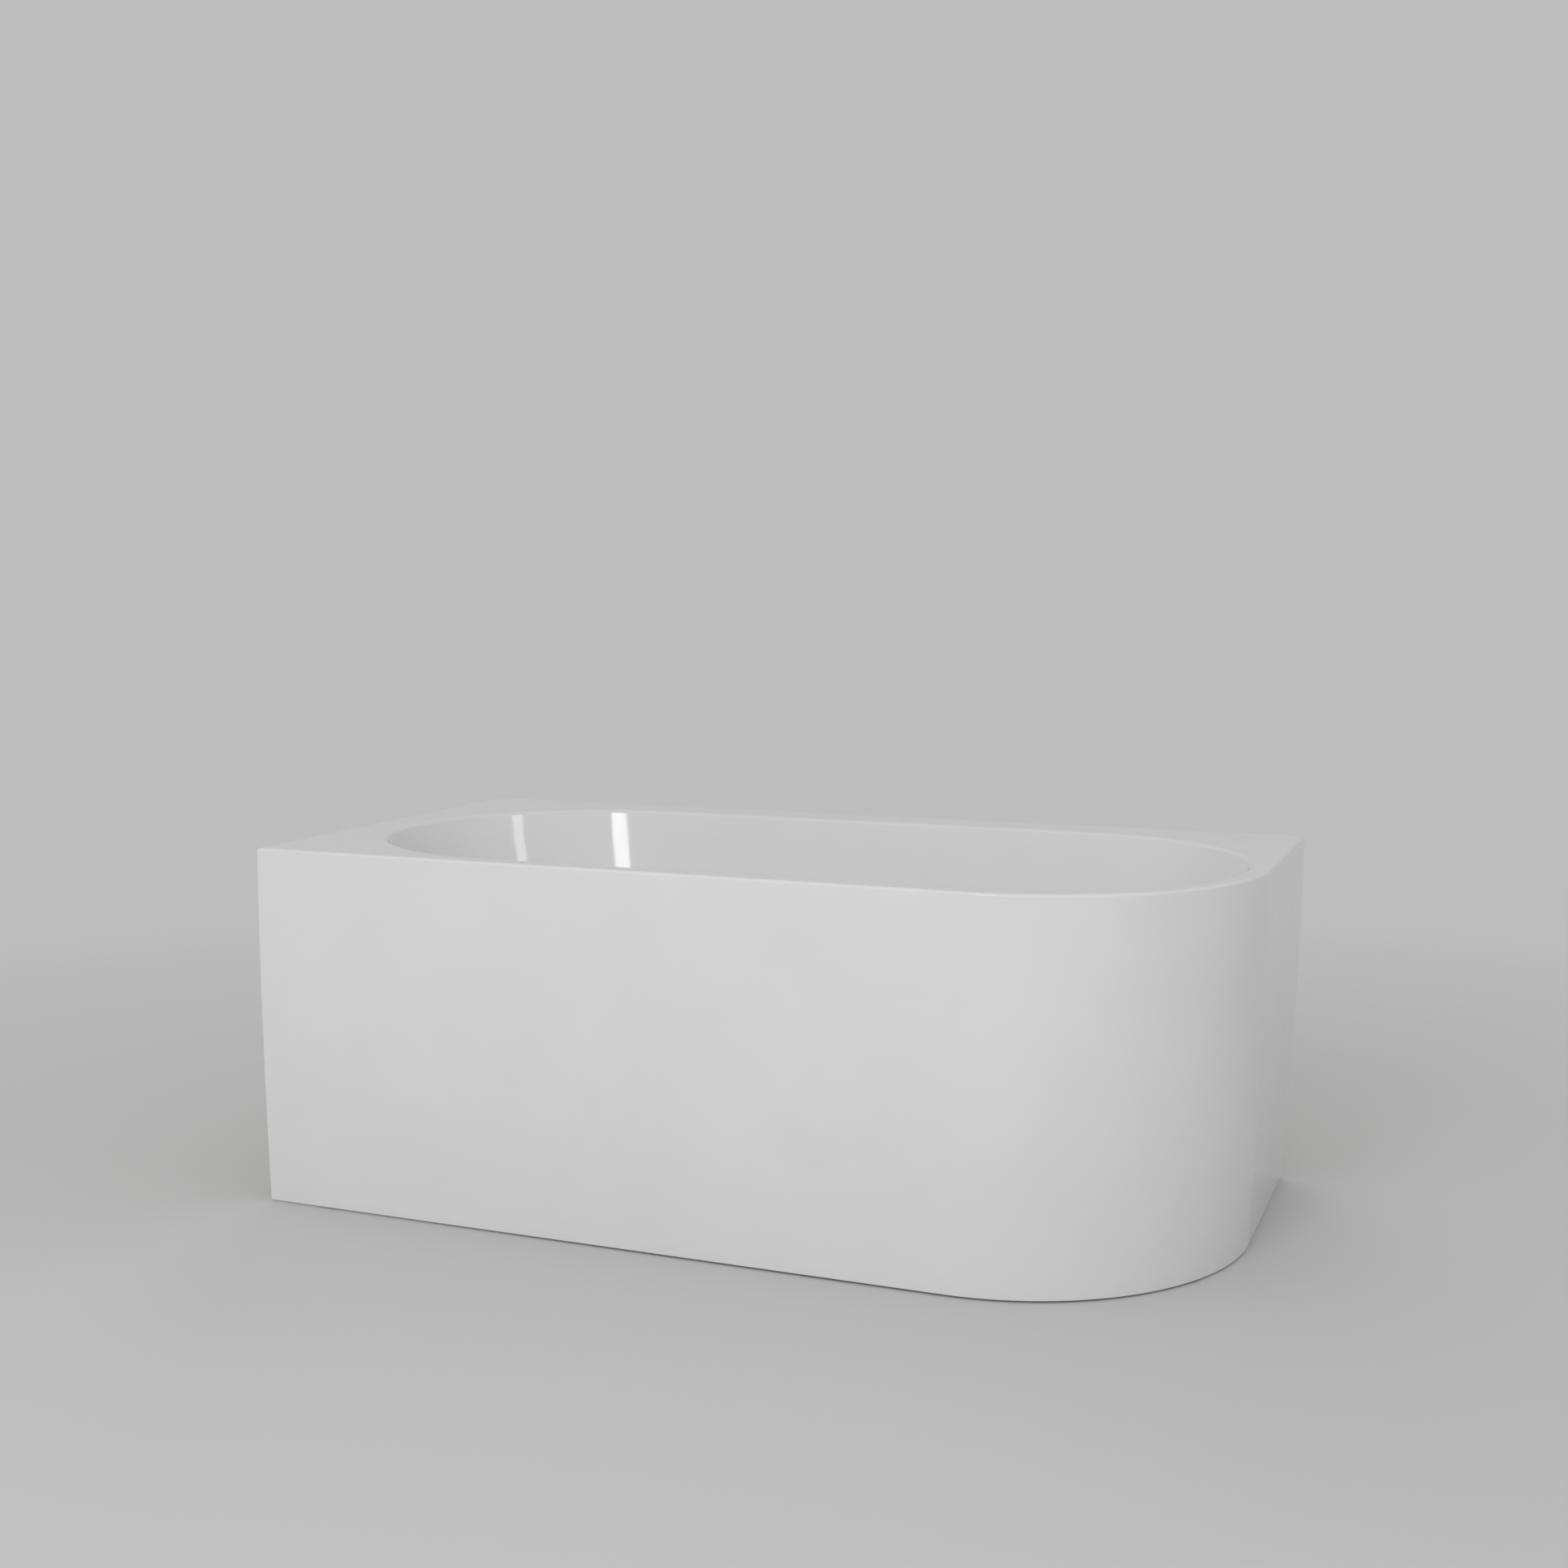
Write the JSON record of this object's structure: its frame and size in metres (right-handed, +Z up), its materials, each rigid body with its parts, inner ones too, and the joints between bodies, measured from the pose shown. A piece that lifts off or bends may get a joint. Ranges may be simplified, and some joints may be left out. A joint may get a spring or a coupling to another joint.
{
  "type": "bathtub",
  "caption": "Bathtub for the corner of two walls: flat rim, stadium-shaped basin, tapering skirt with one rounded free corner, on a steel frame with levelling feet, waste and overflow.",
  "frame": {"origin": "middle of the footprint's bounding box, at floor level", "axes": "+X along the back wall, away from the left wall; +Y towards the back wall; +Z up"},
  "size_m": [1.6, 0.8, 0.6],
  "materials": {
    "acrylic": "gloss",
    "plywood": "raw",
    "timber": "raw",
    "galvanised_steel": "dull, zinc-coated",
    "zinc_fasteners": "bright zinc",
    "foam_rubber": "matte",
    "seal_rubber": "matte",
    "chrome": "polished",
    "white_polypropylene": "moulded, satin",
    "black_nylon": "moulded, matte",
    "grey_hose": "moulded, matte",
    "cable_sheath": "extruded, satin"
  },
  "bodies": {
    "tub": {"basin_shell": "acrylic", "skirt_panel": "acrylic", "floor_board": "plywood", "rim_batten_back": "timber", "rim_batten_left": "timber", "skirt_blocks": "timber", "frame_rail_skirt": "galvanised_steel", "frame_rail_front": "galvanised_steel", "frame_rail_back": "galvanised_steel", "frame_cross_left": "galvanised_steel", "frame_cross_middle": "galvanised_steel", "frame_cross_right": "galvanised_steel", "wall_bracket_back_1": "galvanised_steel", "wall_bracket_back_2": "galvanised_steel", "wall_bracket_left_1": "galvanised_steel", "wall_bracket_left_2": "galvanised_steel", "weld_nuts": "zinc_fasteners", "lock_nuts": "zinc_fasteners", "block_screws": "zinc_fasteners", "board_screws": "zinc_fasteners", "bracket_screws": "zinc_fasteners", "overflow_screws": "zinc_fasteners", "wall_seal_strip": "foam_rubber", "waste_flange_seal": "seal_rubber", "waste_body_seal": "seal_rubber", "overflow_gasket": "seal_rubber", "waste_flange": "chrome", "overflow_flange": "chrome", "waste_body": "white_polypropylene", "overflow_body": "white_polypropylene", "trap_nut_in": "white_polypropylene", "trap_bend": "white_polypropylene", "trap_nut_out": "white_polypropylene", "trap_outlet": "white_polypropylene", "trap_cleanout_cap": "white_polypropylene", "hose_nut_top": "black_nylon", "hose_nut_bottom": "black_nylon", "overflow_hose": "grey_hose", "control_cable": "cable_sheath"},
    "knob": {"overflow_knob": "chrome", "knob_spindle": "black_nylon"},
    "plug": {"plug_cap": "chrome", "plug_seal": "seal_rubber", "plug_stem": "chrome"},
    "crank": {"lift_crank": "black_nylon"},
    "foot_1": {"foot_pad_1": "black_nylon"},
    "rod_1": {"foot_rod_1": "zinc_fasteners"},
    "foot_2": {"foot_pad_2": "black_nylon"},
    "rod_2": {"foot_rod_2": "zinc_fasteners"},
    "foot_3": {"foot_pad_3": "black_nylon"},
    "rod_3": {"foot_rod_3": "zinc_fasteners"},
    "foot_4": {"foot_pad_4": "black_nylon"},
    "rod_4": {"foot_rod_4": "zinc_fasteners"},
    "foot_5": {"foot_pad_5": "black_nylon"},
    "rod_5": {"foot_rod_5": "zinc_fasteners"},
    "foot_6": {"foot_pad_6": "black_nylon"},
    "rod_6": {"foot_rod_6": "zinc_fasteners"}
  },
  "joints": [
    {"name": "knob_turn", "type": "hinge", "parent": "tub", "child": "knob", "pos_m": [0.021, -0.34843, 0.505], "axis": [0, 0.9851, 0.1718], "range_deg": [0, 75]},
    {"name": "plug_lift", "type": "slide", "parent": "tub", "child": "plug", "axis": [0, 0, 1], "range_m": [0, 0.01]},
    {"name": "crank_turn", "type": "hinge", "parent": "tub", "child": "crank", "pos_m": [0.021, -0.0415, 0.114], "axis": [1, 0, 0], "range_deg": [0, 41.85]},
    {"name": "foot_1_travel", "type": "slide", "parent": "tub", "child": "foot_1", "axis": [0, 0, -1], "range_m": [-0.003, 0.02]},
    {"name": "rod_1_screw", "type": "hinge", "parent": "foot_1", "child": "rod_1", "pos_m": [-0.7, -0.32, 0.06], "axis": [0, 0, 1], "range_deg": [-720, 4800]},
    {"name": "foot_2_travel", "type": "slide", "parent": "tub", "child": "foot_2", "axis": [0, 0, -1], "range_m": [-0.003, 0.02]},
    {"name": "rod_2_screw", "type": "hinge", "parent": "foot_2", "child": "rod_2", "pos_m": [-0.7, 0.32, 0.06], "axis": [0, 0, 1], "range_deg": [-720, 4800]},
    {"name": "foot_3_travel", "type": "slide", "parent": "tub", "child": "foot_3", "axis": [0, 0, -1], "range_m": [-0.003, 0.02]},
    {"name": "rod_3_screw", "type": "hinge", "parent": "foot_3", "child": "rod_3", "pos_m": [0.201, -0.32, 0.06], "axis": [0, 0, 1], "range_deg": [-720, 4800]},
    {"name": "foot_4_travel", "type": "slide", "parent": "tub", "child": "foot_4", "axis": [0, 0, -1], "range_m": [-0.003, 0.02]},
    {"name": "rod_4_screw", "type": "hinge", "parent": "foot_4", "child": "rod_4", "pos_m": [0.201, 0.32, 0.06], "axis": [0, 0, 1], "range_deg": [-720, 4800]},
    {"name": "foot_5_travel", "type": "slide", "parent": "tub", "child": "foot_5", "axis": [0, 0, -1], "range_m": [-0.003, 0.02]},
    {"name": "rod_5_screw", "type": "hinge", "parent": "foot_5", "child": "rod_5", "pos_m": [0.688, -0.11997, 0.06], "axis": [0, 0, 1], "range_deg": [-720, 4800]},
    {"name": "foot_6_travel", "type": "slide", "parent": "tub", "child": "foot_6", "axis": [0, 0, -1], "range_m": [-0.003, 0.02]},
    {"name": "rod_6_screw", "type": "hinge", "parent": "foot_6", "child": "rod_6", "pos_m": [0.688, 0.32, 0.06], "axis": [0, 0, 1], "range_deg": [-720, 4800]}
  ],
  "couplings": [
    {"joint": "knob_turn", "follows": "plug_lift", "rad_per_m": 130.9},
    {"joint": "crank_turn", "follows": "plug_lift", "rad_per_m": 73.041},
    {"joint": "rod_1_screw", "follows": "foot_1_travel", "rad_per_m": 4188.8},
    {"joint": "rod_2_screw", "follows": "foot_2_travel", "rad_per_m": 4188.8},
    {"joint": "rod_3_screw", "follows": "foot_3_travel", "rad_per_m": 4188.8},
    {"joint": "rod_4_screw", "follows": "foot_4_travel", "rad_per_m": 4188.8},
    {"joint": "rod_5_screw", "follows": "foot_5_travel", "rad_per_m": 4188.8},
    {"joint": "rod_6_screw", "follows": "foot_6_travel", "rad_per_m": 4188.8}
  ]
}
